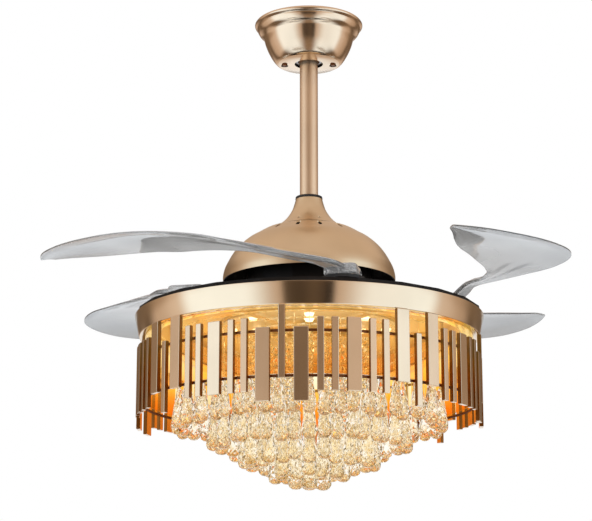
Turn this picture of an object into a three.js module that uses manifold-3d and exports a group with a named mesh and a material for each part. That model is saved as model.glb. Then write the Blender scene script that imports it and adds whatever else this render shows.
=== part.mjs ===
// Retractable blade ceiling fan with a crystal light kit.
// Millimetres, +Z up. The origin is the centre of the ceiling bracket's top face.
// Everything below the rod is drawn from the light ring's top edge, where local z is 0.
import * as THREE from 'three';
import { mergeVertices } from 'three/addons/utils/BufferGeometryUtils.js';
import Module from 'manifold-3d';

const wasm = await Module();
wasm.setup();

// ---- Driving dimensions ---------------------------------------------------------------

const GAP = 0.3; // between pieces that touch
const RUN = 0.6; // running clearance round what turns
const DROP = 450; // ceiling to the light ring's top edge
const PHOTO_TURN = -75; // azimuth of the first blade's pivot, degrees
const ARMS = 4;

const SHEET = 1.4; // pressed metal
const ROD_R = 13.35;
const ROD_BORE_R = 11;
const PIN_R = 3;

const CANOPY_R = 80;
const CANOPY_H = 63;
const CANOPY_FLOOR_R = 46;
const CANOPY_HOLE_R = 21;
const BRACKET_L = 120;
const BRACKET_W = 36;
const BRACKET_T = 2.5;
const LEG_SPREAD = 27; // bracket leg from the axis
const RECEIVER = [60, 26, 30]; // remote control's receiver
const TERMINALS = [30, 16, 12];
const ROD_ROOM = 2.15; // beside the rod's head
const BALL_R = 19;
const BALL_Z = -46;

const HOUSING_R = 124.5;
const HOUSING_BASE = 54; // dome's lower edge above the ring's top edge
const HOUSING_TOP = 140;
const HOUSING_TOP_R = 48;
const NECK_TOP = 178;
const NECK_R = 19.5;
const YOKE_R = 18;
const YOKE_FLANGE_R = 42;
const YOKE_FLANGE_T = 5;

const SHAFT_R = 8.5;
const SHAFT_BORE_R = 6;
const BEARING_R = 17;
const BEARING_H = 9;
const ROTOR_R = 88;
const ROTOR_TOP = 107;
const ROTOR_BASE = 66;
const ROTOR_T = 2; // turning shell's wall
const MAGNET_T = 3.5;
const STATOR_BASE = 72;
const STATOR_H = 22;
const STATOR_POLES = 9;
const AIR_GAP = 1;

const DISC_BASE = 8; // blade disc's underside
const DISC_T = 3;
const PIVOT_R = 177; // blade pivot from the fan's axis
const PIVOT_PIN_R = 5;
const PIVOT_HEAD_R = 9;
const PIVOT_HEAD_T = 2;
const CARRIER_R = 30;
const CARRIER_T = 4.4;

const TOOTH = 3; // gear module
const RING_TEETH = 100;
const BLADE_TEETH = 18;
const GEAR_T = 5;
const BACKLASH = 1.1;

const ROOT_L = 54; // blade's root block
const ROOT_W = 46;
const ROOT_T = 15;
const BLADE_T = 3;
const BLADE_RISE = 7; // camber
const BLADE_INNER_R = 101; // folded blade's inner edge from the fan's axis
const BLADE_OUTER_R = 246; // folded blade's outer edge
const BLADE_SWEEP = 158; // folded blade's tip, degrees round from its pivot
const BLADE_OPEN = 64; // opening angle drawn here, degrees from folded
const RIB_H = 2.2;

const RING_R = 250;
const RING_FOOT_R = 243;
const RING_H = 28.6;
const FLANGE_W = 28;
const TRAY_LIP = 5.7;
const TRAY_FLOOR = -4;
const PAN_FLOOR = -14; // light pan's face
const PAN_R = RING_FOOT_R - FLANGE_W - 3; // the pan's wall drops through the ring's flange
const BOARD_R = 128;
const BOARD_BORE_R = 56;
const BOARD_T = 1.6;
const LENS_R = 9;
const DRIVER_L = 96; // lamp driver
const DRIVER_W = 36;
const DRIVER_Y = 60;

const HOOP_W = 4;
const HOOP_H = 4;
const HOOP_LEVELS = [-64, -124.4];
const BAR_R = RING_FOOT_R + 3; // outer faces
const BAR_T = 6;
const HOOP_R = BAR_R - BAR_T + 1.6; // lower hoop, let into the bars
const BAR_WIDE = 19.5;
const BAR_NARROW = 9;
const BAR_L = 98;
const BAR_TOPS = { high: -RING_H - SHEET - GAP, mid: -47, low: -60.5 };
const PATTERN_TURN = -98.5; // azimuth of the first narrow high bar, degrees

const SPOKE_Z = -24;
const SPOKE_T = 3;
const DROP_R = 9.5;
const TIER_OUTER_R = PAN_R - 22;
const TIER_INNER_R = 22;
const TIERS = [
  // share of the way out, drops, height of the drops' lower tips, drop length
  { out: 1, count: 32, foot: -168, length: 60 },
  { out: 0.726, count: 24, foot: -196, length: 70 },
  { out: 0.458, count: 16, foot: -221, length: 80 },
  { out: 0.214, count: 8, foot: -238, length: 85 },
  { out: 0, count: 4, foot: -247, length: 88 },
];

// ---- Materials ------------------------------------------------------------------------

const finish = (color, roughness, metalness, extra = {}) =>
  new THREE.MeshStandardMaterial({ color, roughness, metalness, ...extra });
const champagne = finish(0xc9a882, 0.3, 1);
const zinc = finish(0xb8bcc0, 0.4, 1);
const black = finish(0x17171a, 0.45, 0.6);
const plastic = finish(0x2a2a2c, 0.6, 0);
const rubber = finish(0x1c1a19, 0.85, 0);
const copper = finish(0x9a5a34, 0.4, 0.9);
const magnet = finish(0x3a3a3e, 0.6, 0.2);
const circuit = finish(0xf0ede2, 0.5, 0);
const hoopBronze = finish(0x5a3320, 0.4, 0.9);
const acrylic = finish(0xd5d9dc, 0.12, 0, { transparent: true, opacity: 0.5 });
const crystal = finish(0xfff0cf, 0.05, 0, { transparent: true, opacity: 0.6 });

// ---- Geometry helpers -----------------------------------------------------------------

const rad = THREE.MathUtils.degToRad;
const polar = (r, degrees) => [r * Math.cos(rad(degrees)), r * Math.sin(rad(degrees))];
const steps = (count, make) => Array.from({ length: count }, (_, i) => make(i));

function signedVolume(position, index) {
  const [a, b, c] = [new THREE.Vector3(), new THREE.Vector3(), new THREE.Vector3()];
  let sum = 0;
  for (let i = 0; i < index.length; i += 3) {
    a.fromBufferAttribute(position, index[i]);
    b.fromBufferAttribute(position, index[i + 1]);
    c.fromBufferAttribute(position, index[i + 2]);
    sum += a.dot(b.cross(c));
  }
  return sum;
}

// One closed skin: shared vertices, no empty triangles, faces out.
function skin(geometry) {
  const bare = geometry.clone();
  bare.deleteAttribute('normal');
  bare.deleteAttribute('uv');
  const merged = mergeVertices(bare, 1e-4);
  const source = merged.index.array;
  const index = [];
  for (let i = 0; i < source.length; i += 3) {
    const [a, b, c] = [source[i], source[i + 1], source[i + 2]];
    if (a !== b && b !== c && c !== a) index.push(a, b, c);
  }
  if (signedVolume(merged.attributes.position, index) < 0) index.reverse();
  merged.setIndex(index);
  return merged;
}

function solid(geometry) {
  const closed = skin(geometry);
  return new wasm.Manifold(new wasm.Mesh({
    numProp: 3,
    vertProperties: new Float32Array(closed.attributes.position.array),
    triVerts: new Uint32Array(closed.index.array),
  }));
}

function shape(body) {
  const mesh = body.getMesh();
  const geometry = new THREE.BufferGeometry();
  geometry.setAttribute('position', new THREE.BufferAttribute(new Float32Array(mesh.vertProperties), 3));
  geometry.setIndex(new THREE.BufferAttribute(new Uint32Array(mesh.triVerts), 1));
  return geometry;
}

const joined = (...parts) => shape(parts.map(solid).reduce((all, part) => all.add(part)));
const cut = (body, ...tools) =>
  shape(tools.map(solid).reduce((left, tool) => left.subtract(tool), solid(body)));

// A profile of [radius, height] pairs turned round Z. One that leaves the axis closes on itself.
function turned(profile, segments = 32) {
  const points = profile.map(([r, z]) => new THREE.Vector2(r, z));
  if (profile[0][0] > 0) points.push(points[0].clone());
  return skin(new THREE.LatheGeometry(points, segments).rotateX(Math.PI / 2));
}

const ring = (inner, outer, low, high, segments = 32) =>
  turned([[inner, low], [outer, low], [outer, high], [inner, high]], segments);

const rod = (r, low, high, segments = 16) =>
  turned([[0, low], [r, low], [r, high], [0, high]], segments);

const block = (x, y, z, at = [0, 0, 0]) => new THREE.BoxGeometry(x, y, z).translate(...at);

const crossPin = (r, length, z, segments = 8) =>
  rod(r, -length / 2, length / 2, segments).rotateY(Math.PI / 2).translate(0, 0, z);

function extruded(outline, depth, z, curveSegments = 6) {
  const settings = { depth, bevelEnabled: false, curveSegments };
  return skin(new THREE.ExtrudeGeometry(outline, settings).translate(0, 0, z));
}

function outlineOf(points) {
  return new THREE.Shape(points.map(([x, y]) => new THREE.Vector2(x, y)));
}

function roundedBar(length, width, corner) {
  const outline = new THREE.Shape();
  const [x, y] = [length / 2, width / 2];
  outline.moveTo(-x + corner, -y);
  outline.lineTo(x - corner, -y);
  outline.absarc(x - corner, -y + corner, corner, -Math.PI / 2, 0);
  outline.lineTo(x, y - corner);
  outline.absarc(x - corner, y - corner, corner, 0, Math.PI / 2);
  outline.lineTo(-x + corner, y);
  outline.absarc(-x + corner, y - corner, corner, Math.PI / 2, Math.PI);
  outline.lineTo(-x, -y + corner);
  outline.absarc(-x + corner, -y + corner, corner, Math.PI, 1.5 * Math.PI);
  return outline;
}

// A circle's points from one angle to another, in degrees.
function arc(r, from, to, count, centre = [0, 0]) {
  return steps(count + 1, (i) => {
    const [x, y] = polar(r, from + ((to - from) * i) / count);
    return [centre[0] + x, centre[1] + y];
  });
}

// A full circle's corners.
const circle = (r, sides) => arc(r, 0, 360 - 360 / sides, sides - 1).map(([x, y]) => new THREE.Vector2(x, y));

// ---- Scene graph ----------------------------------------------------------------------

const fan = new THREE.Group();
const body = new THREE.Group();
body.position.z = -DROP;
fan.add(body);

function add(name, geometry, material, parent = body) {
  const mesh = new THREE.Mesh(skin(geometry), material);
  mesh.name = name;
  parent.add(mesh);
  return mesh;
}

// ---- Ceiling end ----------------------------------------------------------------------

const SEAT_ANGLE = 62; // from the ball's lowest point to where its cradle meets it
const SEAT_R = BALL_R * Math.sin(rad(SEAT_ANGLE));
const CRADLE_TOP = BALL_Z - BALL_R * Math.cos(rad(SEAT_ANGLE));
const SEAT_H = 2; // height of the cradle's seat, under which the rod can lean
const CRADLE_H = 5;
const CRADLE_R = LEG_SPREAD + BRACKET_T / 2;
const SCREW_X = LEG_SPREAD + 9;
const FOOT_Z = CRADLE_TOP - CRADLE_H;

function ceilingBracket() {
  const plate = roundedBar(BRACKET_L, BRACKET_W, 8);
  for (const side of [-1, 1]) {
    const slot = new THREE.Path();
    const x = side * (BRACKET_L / 2 - 18);
    slot.absarc(x, 6, 2.6, 0, Math.PI);
    slot.absarc(x, -6, 2.6, Math.PI, 2 * Math.PI);
    plate.holes.push(slot);
  }
  const mouth = SEAT_R + 2 * GAP; // the seat is a cone along the ball's tangent
  const throat = mouth - SEAT_H / Math.tan(rad(SEAT_ANGLE));
  const cradle = turned([
    [mouth, CRADLE_TOP], [CRADLE_R, CRADLE_TOP], [CRADLE_R, FOOT_Z], [throat, FOOT_Z],
    [throat, CRADLE_TOP - SEAT_H],
  ], 16);
  const legs = [-1, 1].map((side) =>
    block(BRACKET_T, 26, -FOOT_Z - BRACKET_T / 2, [side * LEG_SPREAD, 0, (FOOT_Z - BRACKET_T / 2) / 2]));
  const feet = [-1, 1].map((side) =>
    cut(block(17, 12, BRACKET_T, [side * (SCREW_X - 1), 0, FOOT_Z + BRACKET_T / 2]),
      rod(2.3, FOOT_Z - 1, FOOT_Z + BRACKET_T + 1, 8).translate(side * SCREW_X, 0, 0)));
  return joined(extruded(plate, BRACKET_T, -BRACKET_T, 3), cradle, ...legs, ...feet);
}

const CANOPY_FLOOR_Z = -CANOPY_H;

function canopy() {
  const outside = [
    [CANOPY_R, -GAP], [CANOPY_R, -5.5], [CANOPY_R - 1.6, -6.6], [CANOPY_R - 2.2, -9],
    [CANOPY_R - 5.6, -15.4], [CANOPY_R - 10, -19], [CANOPY_R - 12.2, -24], [CANOPY_R - 19, -42],
    [CANOPY_FLOOR_R + 3, CANOPY_FLOOR_Z + 3], [CANOPY_FLOOR_R, CANOPY_FLOOR_Z],
    [CANOPY_HOLE_R, CANOPY_FLOOR_Z],
  ];
  const inside = [
    [CANOPY_HOLE_R, CANOPY_FLOOR_Z + SHEET], [CANOPY_FLOOR_R - SHEET, CANOPY_FLOOR_Z + SHEET],
    [CANOPY_R - 19 - SHEET, -41], [CANOPY_R - 12.2 - SHEET, -22], [CANOPY_R - SHEET - 2, -9],
    [CANOPY_R - SHEET - 2, -GAP],
  ];
  const keyholes = [-1, 1].map((side) => joined(
    rod(5.6, CANOPY_FLOOR_Z - 2, CANOPY_FLOOR_Z + 3, 8).translate(side * SCREW_X, 7, 0),
    block(5.2, 9, 5, [side * SCREW_X, 2.5, CANOPY_FLOOR_Z + 0.5])));
  return cut(turned([...outside, ...inside], 24), ...keyholes);
}

function canopyScrew() {
  const head = CANOPY_FLOOR_Z - GAP;
  return turned([
    [0, head - 2], [3, head - 2], [4.4, head - 0.6], [4.4, head], [2, head],
    [2, FOOT_Z + BRACKET_T + 3], [0, FOOT_Z + BRACKET_T + 3],
  ], 8);
}

add('ceiling_bracket', ceilingBracket(), zinc, fan);
add('canopy', canopy(), champagne, fan);
for (const [i, side] of [-1, 1].entries()) {
  add(`canopy_screw_${i + 1}`, canopyScrew(), zinc, fan).position.x = side * SCREW_X;
}
const UNDER_PLATE = -BRACKET_T - GAP;
const beside = ([, width, height], side) =>
  [0, side * (ROD_R + ROD_ROOM + width / 2), UNDER_PLATE - height / 2];
add('remote_receiver', block(...RECEIVER, beside(RECEIVER, 1)), plastic, fan);
add('terminal_block', block(...TERMINALS, beside(TERMINALS, -1)), circuit, fan);

// ---- Hanger ball, rod and yoke --------------------------------------------------------

const BALL_LOCAL = BALL_Z + DROP;
const YOKE_BASE = HOUSING_TOP - SHEET - GAP - YOKE_FLANGE_T;
const ROD_FOOT = YOKE_BASE + YOKE_FLANGE_T + 2;
const ROD_HEAD = BALL_LOCAL + BALL_R + 2;
const PIN_Z = NECK_TOP - 22;
const YOKE_TOP = PIN_Z + 8;

function hangerBall() {
  const arcPoints = steps(7, (i) => {
    const angle = -44 + (88 * i) / 6;
    return [BALL_R * Math.cos(rad(angle)), BALL_LOCAL + BALL_R * Math.sin(rad(angle))];
  });
  const ball = turned([[ROD_R + GAP, arcPoints[0][1]], ...arcPoints, [ROD_R + GAP, arcPoints[6][1]]], 16);
  return cut(ball, crossPin(PIN_R + GAP, 3 * BALL_R, BALL_LOCAL));
}

function downrod() {
  return cut(ring(ROD_BORE_R, ROD_R, ROD_FOOT, ROD_HEAD, 20),
    crossPin(PIN_R + GAP, 3 * ROD_R, BALL_LOCAL), crossPin(PIN_R + GAP, 3 * ROD_R, PIN_Z));
}

function motorYoke() {
  const bore = ROD_R + GAP;
  const sleeve = turned([
    [bore, ROD_FOOT - GAP], [bore, YOKE_TOP], [YOKE_R, YOKE_TOP], [YOKE_R, YOKE_BASE + YOKE_FLANGE_T + 3],
    [YOKE_R + 4, YOKE_BASE + YOKE_FLANGE_T], [YOKE_FLANGE_R, YOKE_BASE + YOKE_FLANGE_T],
    [YOKE_FLANGE_R, YOKE_BASE], [SHAFT_R + GAP, YOKE_BASE], [SHAFT_R + GAP, ROD_FOOT - GAP],
  ], 16);
  return cut(sleeve, crossPin(PIN_R + GAP, 3 * YOKE_R, PIN_Z));
}

function pinClip() {
  const x = YOKE_R + 2.2;
  const eye = new THREE.CatmullRomCurve3([
    [x, 0, PIN_Z + PIN_R + 3], [x, 0, PIN_Z - PIN_R - 4], [x, 2.6, PIN_Z - PIN_R - 8],
    [x, 4.6, PIN_Z - PIN_R - 2], [x, PIN_R + 1.6, PIN_Z], [x, 5.4, PIN_Z + PIN_R + 2],
  ].map((p) => new THREE.Vector3(...p)));
  const section = new THREE.Shape().absarc(0, 0, 0.7, 0, 2 * Math.PI);
  const settings = { steps: 12, curveSegments: 2, extrudePath: eye, bevelEnabled: false };
  return new THREE.ExtrudeGeometry(section, settings);
}

const PIN_REACH = YOKE_R + 4.4;
add('hanger_ball', hangerBall(), champagne);
add('ball_pin', crossPin(PIN_R, 2 * BALL_R - 4, BALL_LOCAL), zinc);
add('downrod', downrod(), champagne);
add('motor_yoke', motorYoke(), zinc);
add('rod_pin', cut(crossPin(PIN_R, 2 * PIN_REACH, PIN_Z),
  rod(1.3, PIN_Z - 5, PIN_Z + 5, 8).translate(YOKE_R + 2.2, 0, 0)), zinc);
add('rod_pin_clip', pinClip(), zinc);

// ---- Motor ----------------------------------------------------------------------------

const FOOT_HOLES = 8;
const MAGNET_R = ROTOR_R - ROTOR_T - GAP;
const MAGNET_SIDES = 24;

function neckCover() {
  const foot = HOUSING_TOP + GAP;
  const outside = [
    [NECK_R, NECK_TOP], [NECK_R + 1.6, NECK_TOP - 6], [NECK_R + 5, NECK_TOP - 16], [NECK_R + 11, NECK_TOP - 26],
    [HOUSING_TOP_R - 8, foot + 4.4], [HOUSING_TOP_R, foot],
  ];
  const inside = [
    [HOUSING_TOP_R - 3, foot], [NECK_R + 10, NECK_TOP - 28], [NECK_R + 4, NECK_TOP - 17],
    [NECK_R - SHEET, NECK_TOP],
  ];
  const holes = steps(FOOT_HOLES, (i) => {
    const [x, y] = polar(HOUSING_TOP_R - 8, (360 * (i + 0.5)) / FOOT_HOLES);
    return rod(2.4, foot - 2, foot + 12, 6).translate(x, y, 0);
  });
  return cut(turned([...outside, ...inside], 20), ...holes);
}

function motorHousing() {
  const [r, low, high] = [HOUSING_R, HOUSING_BASE, HOUSING_TOP];
  const outside = [
    [r, low], [r, low + 8], [r - 2.4, low + 18], [r - 6.6, low + 27], [r - 13.5, low + 39],
    [r - 23, low + 51], [r - 35, low + 61], [r - 58, low + 76],
    [HOUSING_TOP_R + 2, high - 1], [HOUSING_TOP_R - 4, high], [YOKE_R + 6, high],
  ];
  const inside = [
    [YOKE_R + 6, high - SHEET], [HOUSING_TOP_R - 1, high - SHEET], [r - 37, low + 60],
    [r - 15.5, low + 38.5], [r - SHEET - 1, low + 12], [r - SHEET, low],
  ];
  return turned([...outside, ...inside], 28);
}

function stator() {
  const core = (MAGNET_R - MAGNET_T) * Math.cos(Math.PI / MAGNET_SIDES) - AIR_GAP; // clears its flats
  const pitch = 360 / STATOR_POLES;
  const points = steps(STATOR_POLES, (i) => [
    polar(34, (i - 0.3) * pitch), polar(core - 8, (i - 0.12) * pitch), polar(core - 6, (i - 0.42) * pitch),
    polar(core, (i - 0.42) * pitch), polar(core, i * pitch), polar(core, (i + 0.42) * pitch),
    polar(core - 6, (i + 0.42) * pitch), polar(core - 8, (i + 0.12) * pitch), polar(34, (i + 0.3) * pitch),
  ]).flat();
  const outline = outlineOf(points);
  outline.holes.push(new THREE.Path(circle(SHAFT_R + GAP, 12)));
  return extruded(outline, STATOR_H, STATOR_BASE);
}

function rotorShell() {
  const hub = BEARING_R + GAP;
  const [r, top] = [ROTOR_R, ROTOR_TOP];
  return turned([
    [hub, top], [r - 4, top], [r, top - 4], [r, ROTOR_BASE], [r - ROTOR_T, ROTOR_BASE],
    [r - ROTOR_T, top - 5], [hub + 4, top - 5], [hub + 4, top - BEARING_H - 2], [hub, top - BEARING_H - 2],
  ], MAGNET_SIDES);
}

const bearing = (low) => ring(SHAFT_R + GAP, BEARING_R, low, low + BEARING_H, 16);

const PAN_BACK = PAN_FLOOR + SHEET;
const SHAFT_FOOT = PAN_FLOOR - 7;
const UPPER_BEARING = ROTOR_TOP - BEARING_H - 1;
const LOWER_BEARING = DISC_BASE + 1;
const SHAFT_HEAD = ROD_FOOT - GAP - 1;

add('neck_gasket', turned([
  [ROD_R + GAP, NECK_TOP - 4], [NECK_R - SHEET - GAP, NECK_TOP - 4], [NECK_R - SHEET - GAP, NECK_TOP + GAP],
  [NECK_R + 0.4, NECK_TOP + GAP], [NECK_R - 0.6, NECK_TOP + 4], [ROD_R + GAP, NECK_TOP + 4],
], 16), rubber);
add('neck_cover', neckCover(), champagne);
add('motor_housing', motorHousing(), champagne);
add('motor_shaft', ring(SHAFT_BORE_R, SHAFT_R, SHAFT_FOOT, SHAFT_HEAD, 16), zinc);
add('stator', stator(), copper);
add('rotor_shell', rotorShell(), zinc);
add('magnet_ring', ring(MAGNET_R - MAGNET_T, MAGNET_R, ROTOR_BASE + 2, ROTOR_TOP - 7, MAGNET_SIDES), magnet);
add('bearing_upper', bearing(UPPER_BEARING), zinc);
add('bearing_lower', bearing(LOWER_BEARING), zinc);

// ---- Blade disc, gears and pivots -----------------------------------------------------

const DISC_TOP = DISC_BASE + DISC_T;
const RING_GEAR_R = (TOOTH * RING_TEETH) / 2;
const BLADE_GEAR_R = (TOOTH * BLADE_TEETH) / 2;
const GEAR_BASE = DISC_TOP + GAP;
const GEAR_TOP = GEAR_BASE + GEAR_T;
const RING_BORE_R = RING_GEAR_R - 20;
const RING_SIDES = 24;
const LOBE_R = CARRIER_R + 1;
const DRUM_R = ROTOR_R + GAP;
const BLADE_AZIMUTHS = steps(ARMS, (i) => PHOTO_TURN + (360 / ARMS) * i);

function bladeDisc() {
  const hub = BEARING_R + GAP;
  const lip = RING_BORE_R * Math.cos(Math.PI / RING_SIDES) - RUN; // clears the ring's flats
  const plate = turned([
    [hub, DISC_BASE], [RING_GEAR_R + 4, DISC_BASE], [RING_GEAR_R + 4, DISC_TOP], [lip, DISC_TOP],
    [lip, GEAR_TOP], [lip - 3, GEAR_TOP], [lip - 3, DISC_TOP], [DRUM_R + 3, DISC_TOP],
    [DRUM_R + 3, ROTOR_BASE + 14], [DRUM_R, ROTOR_BASE + 14], [DRUM_R, DISC_TOP],
    [hub + 4, DISC_TOP], [hub + 4, LOWER_BEARING + BEARING_H], [hub, LOWER_BEARING + BEARING_H],
  ], RING_SIDES);
  const lobes = BLADE_AZIMUTHS.map((a) => {
    const outline = outlineOf([
      ...arc(LOBE_R, -75, 75, 8, [PIVOT_R, 0]), [PIVOT_R - 40, LOBE_R + 3], [PIVOT_R - 40, -LOBE_R - 3]]);
    return extruded(outline, DISC_T, DISC_BASE).rotateZ(rad(a));
  });
  const holes = BLADE_AZIMUTHS.map((a) =>
    rod(PIVOT_PIN_R + GAP, DISC_BASE - 1, DISC_TOP + 1, 8).translate(PIVOT_R, 0, 0).rotateZ(rad(a)));
  return cut(joined(plate, ...lobes), ...holes);
}

// Outline of an outside gear whose teeth run over part of the circle. Tooth i is at phase + i pitches.
function gearOutline(pitchR, teeth, runs, plainR) {
  const pitch = 360 / teeth;
  const [tip, root] = [pitchR + 0.8 * TOOTH, pitchR - 1.15 * TOOTH];
  const half = (Math.PI * TOOTH - 2 * BACKLASH) / 4;
  const lean = Math.tan(rad(20));
  const spread = (width, r) => THREE.MathUtils.radToDeg(width / r);
  const atTip = spread(half - (tip - pitchR) * lean, tip);
  const atRoot = spread(half + (pitchR - root) * lean, root);
  const points = [];
  for (const [i, run] of runs.entries()) {
    for (let k = 0; k < run.count; k += 1) {
      const a = run.start + k * pitch;
      points.push(polar(root, a - atRoot), polar(tip, a - atTip));
      points.push(polar(tip, a + atTip), polar(root, a + atRoot));
    }
    const from = run.start + (run.count - 0.5) * pitch;
    const next = runs[(i + 1) % runs.length].start + (i + 1 === runs.length ? 360 : 0) - 0.5 * pitch;
    points.push(...arc(plainR, from, next, Math.max(2, Math.ceil((next - from) / 28))));
  }
  return outlineOf(points);
}

const SYNC_TEETH = 8;

function syncRing() {
  const pitch = 360 / RING_TEETH;
  const runs = BLADE_AZIMUTHS.map((a) => ({ start: a - 3.5 * pitch, count: SYNC_TEETH }));
  const outline = gearOutline(RING_GEAR_R, RING_TEETH, runs, RING_GEAR_R - 1.15 * TOOTH);
  outline.holes.push(new THREE.Path(circle(RING_BORE_R, RING_SIDES)));
  return extruded(outline, GEAR_T, GEAR_BASE);
}

const SEAT_TOP = GEAR_TOP + GAP + CARRIER_T;
const SPRING_CUP_R = 19;
const CUP_SIDES = 10;
const SPRING_W = 1;
const GEAR_RUN = 8;

// The carrier under a blade: toothed foot, round seat, and a cup that holds the return spring.
function bladeGear() {
  const pitch = 360 / BLADE_TEETH;
  const runs = [{ start: 180 - 3 * pitch, count: GEAR_RUN }];
  const outline = gearOutline(BLADE_GEAR_R, BLADE_TEETH, runs, BLADE_GEAR_R - 1.15 * TOOTH);
  outline.holes.push(new THREE.Path(circle(SPRING_CUP_R, CUP_SIDES)));
  const foot = extruded(outline, GEAR_T + GAP, GEAR_BASE);
  const seat = ring(PIVOT_PIN_R + RUN, CARRIER_R, GEAR_TOP + GAP - 0.01, SEAT_TOP, 12);
  return joined(foot, seat);
}

// A flat spiral spring round the pivot pin.
function returnSpring() {
  const turns = 2;
  const stepsPerTurn = 8;
  const count = Math.round(turns * stepsPerTurn);
  const inner = PIVOT_PIN_R + RUN + 0.6;
  const outer = SPRING_CUP_R * Math.cos(Math.PI / CUP_SIDES) - RUN; // clears the cup's flats
  const growth = (outer - SPRING_W - inner) / count;
  const line = (offset) =>
    steps(count + 1, (i) => polar(inner + growth * i + offset, (360 * i) / stepsPerTurn));
  return extruded(outlineOf([...line(0), ...line(SPRING_W).reverse()]), GEAR_T - 2 * GAP, GEAR_BASE);
}

const ROOT_BASE = SEAT_TOP + GAP;
const ROOT_TOP = ROOT_BASE + ROOT_T;

const pivotPin = () => turned([
  [0, DISC_BASE - GAP - 3], [8, DISC_BASE - GAP - 3], [8, DISC_BASE - GAP], [PIVOT_PIN_R, DISC_BASE - GAP],
  [PIVOT_PIN_R, ROOT_TOP + GAP], [PIVOT_HEAD_R, ROOT_TOP + GAP], [PIVOT_HEAD_R, ROOT_TOP + GAP + 1],
  [PIVOT_HEAD_R - 2, ROOT_TOP + GAP + PIVOT_HEAD_T], [0, ROOT_TOP + GAP + PIVOT_HEAD_T],
], 8);

// ---- Blade ----------------------------------------------------------------------------
// Drawn folded. A place on it is the angle back from its pivot and the share of the way
// from the folded inner edge's circle to the outer edge's circle.

const CHORD = BLADE_OUTER_R - BLADE_INNER_R;
const TIP_Z = ROOT_TOP + 12;
const WAIST_Z = ROOT_TOP + 5;
const AT_ROOT = (PIVOT_R - BLADE_INNER_R) / CHORD;

// [share of the sweep, inner edge, outer edge, inner height, outer height, thickness]
const BLADE_LINES = [
  [0.0, AT_ROOT - 0.09, AT_ROOT + 0.09, ROOT_TOP - 6, ROOT_TOP - 6, 7],
  [0.09, AT_ROOT - 0.18, AT_ROOT + 0.02, ROOT_TOP - 2, ROOT_TOP - 3, 7],
  [0.16, 0.19, 0.37, WAIST_Z - 3, WAIST_Z - 4, 6.5],
  [0.23, 0.1, 0.24, WAIST_Z, WAIST_Z, 6],
  [0.34, 0.09, 0.28, WAIST_Z + 0.5, WAIST_Z + 0.5, 4.5],
  [0.45, 0.06, 0.43, WAIST_Z + 1, WAIST_Z + 0.5, 3.4],
  [0.54, 0.02, 0.66, WAIST_Z + 2, WAIST_Z, 3],
  [0.66, 0.0, 0.91, WAIST_Z + 3, WAIST_Z - 1.5, BLADE_T],
  [0.78, 0.03, 1.0, WAIST_Z + 7, WAIST_Z - 3.5, BLADE_T],
  [0.88, 0.14, 1.0, WAIST_Z + 8.5, WAIST_Z - 2, BLADE_T],
  [0.95, 0.4, 0.98, WAIST_Z + 7, WAIST_Z + 1, BLADE_T],
  [1.0, 0.8, 0.95, TIP_Z - 2, TIP_Z - 4, 2.4],
];
const BLADE_STATIONS = 13;
const BLADE_SPANS = 6;
const RIB_SPANS = [2, 4];
const RIB_FROM = 0.27;
const RIB_TO = 0.5;

// The table's row at a share of the sweep, eased between the two nearest rows.
function bladeLine(share) {
  const after = Math.max(1, BLADE_LINES.findIndex((row) => row[0] >= share - 1e-9));
  const [p, q] = [BLADE_LINES[after - 1], BLADE_LINES[after]];
  const t = (share - p[0]) / (q[0] - p[0]);
  const before = BLADE_LINES[Math.max(0, after - 2)];
  const beyond = BLADE_LINES[Math.min(BLADE_LINES.length - 1, after + 1)];
  const slope = (a, b, k) => (b[k] - a[k]) / (b[0] - a[0]);
  return p.map((value, k) => {
    const span = q[0] - p[0];
    const [m0, m1] = [slope(before, q, k) * span, slope(p, beyond, k) * span];
    const [t2, t3] = [t * t, t * t * t];
    return (2 * t3 - 3 * t2 + 1) * value + (t3 - 2 * t2 + t) * m0 + (-2 * t3 + 3 * t2) * q[k] + (t3 - t2) * m1;
  });
}

function bladeSection(share) {
  const [, inner, outer, innerZ, outerZ, thickness] = bladeLine(share);
  const width = (outer - inner) * CHORD;
  const rise = BLADE_RISE * Math.min(1, width / CHORD);
  const ribbed = share > RIB_FROM && share < RIB_TO;
  const point = (i, side) => {
    const t = i / BLADE_SPANS;
    const edge = i === 0 || i === BLADE_SPANS;
    const r = BLADE_INNER_R + (inner + (outer - inner) * t) * CHORD;
    const rib = side > 0 && ribbed && RIB_SPANS.includes(i) ? RIB_H : 0;
    const middle = innerZ + (outerZ - innerZ) * t + rise * 4 * t * (1 - t);
    const z = middle + side * thickness * (edge ? 0.3 : 0.5) + rib;
    const [x, y] = polar(r, -share * BLADE_SWEEP);
    return [x - PIVOT_R, y, z];
  };
  const top = steps(BLADE_SPANS + 1, (i) => point(i, 1));
  const bottom = steps(BLADE_SPANS + 1, (i) => point(BLADE_SPANS - i, -1));
  return [...top, ...bottom];
}

// Sections joined one to the next, with flat ends.
function loft(sections) {
  const n = sections[0].length;
  const index = [];
  for (let s = 0; s + 1 < sections.length; s += 1) {
    for (let i = 0; i < n; i += 1) {
      const [a, b] = [s * n + i, s * n + ((i + 1) % n)];
      index.push(a, b, b + n, a, b + n, a + n);
    }
  }
  const last = (sections.length - 1) * n;
  for (let i = 0; i < n / 2 - 1; i += 1) {
    const [a, b, c, d] = [i, i + 1, n - 2 - i, n - 1 - i];
    index.push(a, d, c, a, c, b);
    index.push(last + a, last + c, last + d, last + a, last + b, last + c);
  }
  const geometry = new THREE.BufferGeometry();
  geometry.setAttribute('position', new THREE.Float32BufferAttribute(sections.flat(2), 3));
  geometry.setIndex(index);
  return geometry;
}

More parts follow.
